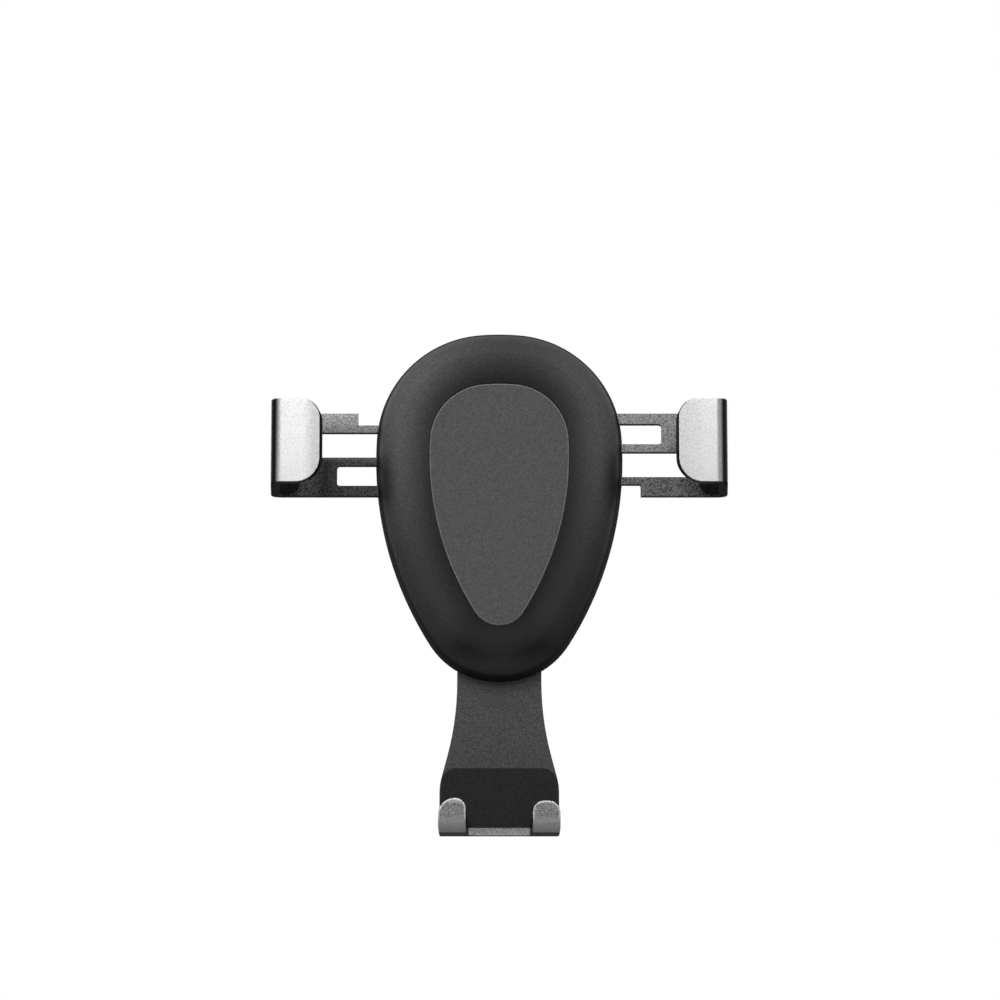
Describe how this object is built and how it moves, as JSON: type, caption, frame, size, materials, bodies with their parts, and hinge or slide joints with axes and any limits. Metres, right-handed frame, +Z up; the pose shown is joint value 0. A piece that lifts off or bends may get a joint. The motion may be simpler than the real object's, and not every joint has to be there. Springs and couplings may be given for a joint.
{
  "type": "phone holder",
  "caption": "Gravity phone holder for a car's air vent: an egg-shaped rest on a ball joint, two sliding side arms and a sliding foot coupled so that a phone's weight closes the arms.",
  "frame": {"origin": "middle of the closed jaws of the vent clip, on the ball joint's axis", "axes": "+Z up along the upright phone, +Y rearwards from the phone's rest to the vent, +X to the right as seen from the front"},
  "size_m": [0.0954, 0.0675, 0.1059],
  "materials": {
    "ring_plastic": "satin moulded",
    "insert_plate": "fine bead-blasted, dark",
    "black_plastic": "fine matt moulded",
    "steel": "plain",
    "arm_sheet": "sand-blasted",
    "foot_sheet": "fine sand-blasted, grey",
    "black_rubber": "smooth",
    "seat_plastic": "natural",
    "clip_plastic": "matt moulded"
  },
  "bodies": {
    "clip": {"clip_base": "clip_plastic", "clip_hinge_pin": "steel", "upper_jaw_pad": "black_rubber"},
    "lever": {"clip_lever": "clip_plastic", "lower_jaw_pad": "black_rubber", "clip_spring": "steel"},
    "seat": {"ball_seat": "seat_plastic"},
    "collar": {"collet_ring": "seat_plastic"},
    "housing": {"front_shell": "ring_plastic", "front_insert": "insert_plate", "rear_cover": "black_plastic", "screw_low_left": "steel", "screw_top_left": "steel", "screw_low_right": "steel", "screw_top_right": "steel", "return_spring": "steel"},
    "nut": {"ring_nut": "black_plastic"},
    "foot": {"foot_plate": "foot_sheet", "foot_pad": "black_rubber"},
    "arm_left": {"left_arm": "arm_sheet", "left_arm_pad": "black_rubber", "left_cam_pin": "steel"},
    "arm_right": {"right_arm": "arm_sheet", "right_arm_pad": "black_rubber", "right_cam_pin": "steel"}
  },
  "joints": [
    {"name": "clip_press", "type": "hinge", "parent": "clip", "child": "lever", "pos_m": [0, -0.0065, -0.0033], "axis": [-1, 0, 0], "range_deg": [0, 20], "stiffness_Nm_per_rad": 0.2, "springref_deg": -20.05},
    {"name": "ball_tilt", "type": "hinge", "parent": "clip", "child": "seat", "pos_m": [0, -0.025, 0], "axis": [1, 0, 0], "range_deg": [-18, 18]},
    {"name": "ball_pan", "type": "hinge", "parent": "seat", "child": "collar", "pos_m": [0, -0.025, 0], "axis": [0, 0, 1], "range_deg": [-18, 18]},
    {"name": "ball_roll", "type": "hinge", "parent": "collar", "child": "housing", "pos_m": [0, -0.025, 0], "axis": [0, 1, 0], "continuous": true},
    {"name": "nut_turn", "type": "hinge", "parent": "housing", "child": "nut", "pos_m": [0, -0.025, 0], "axis": [0, 1, 0], "range_deg": [0, 270]},
    {"name": "foot_slide", "type": "slide", "parent": "housing", "child": "foot", "axis": [0, 0, 1], "range_m": [-0.014, 0], "stiffness_N_per_m": 40, "springref_m": 0.01, "deforming": ["return_spring"]},
    {"name": "left_arm_slide", "type": "slide", "parent": "housing", "child": "arm_left", "axis": [1, 0, 0], "range_m": [0, 0.014]},
    {"name": "right_arm_slide", "type": "slide", "parent": "housing", "child": "arm_right", "axis": [-1, 0, 0], "range_m": [0, 0.014]}
  ],
  "couplings": [
    {"joint": "left_arm_slide", "follows": "foot_slide", "ratio": -1},
    {"joint": "right_arm_slide", "follows": "foot_slide", "ratio": -1}
  ]
}
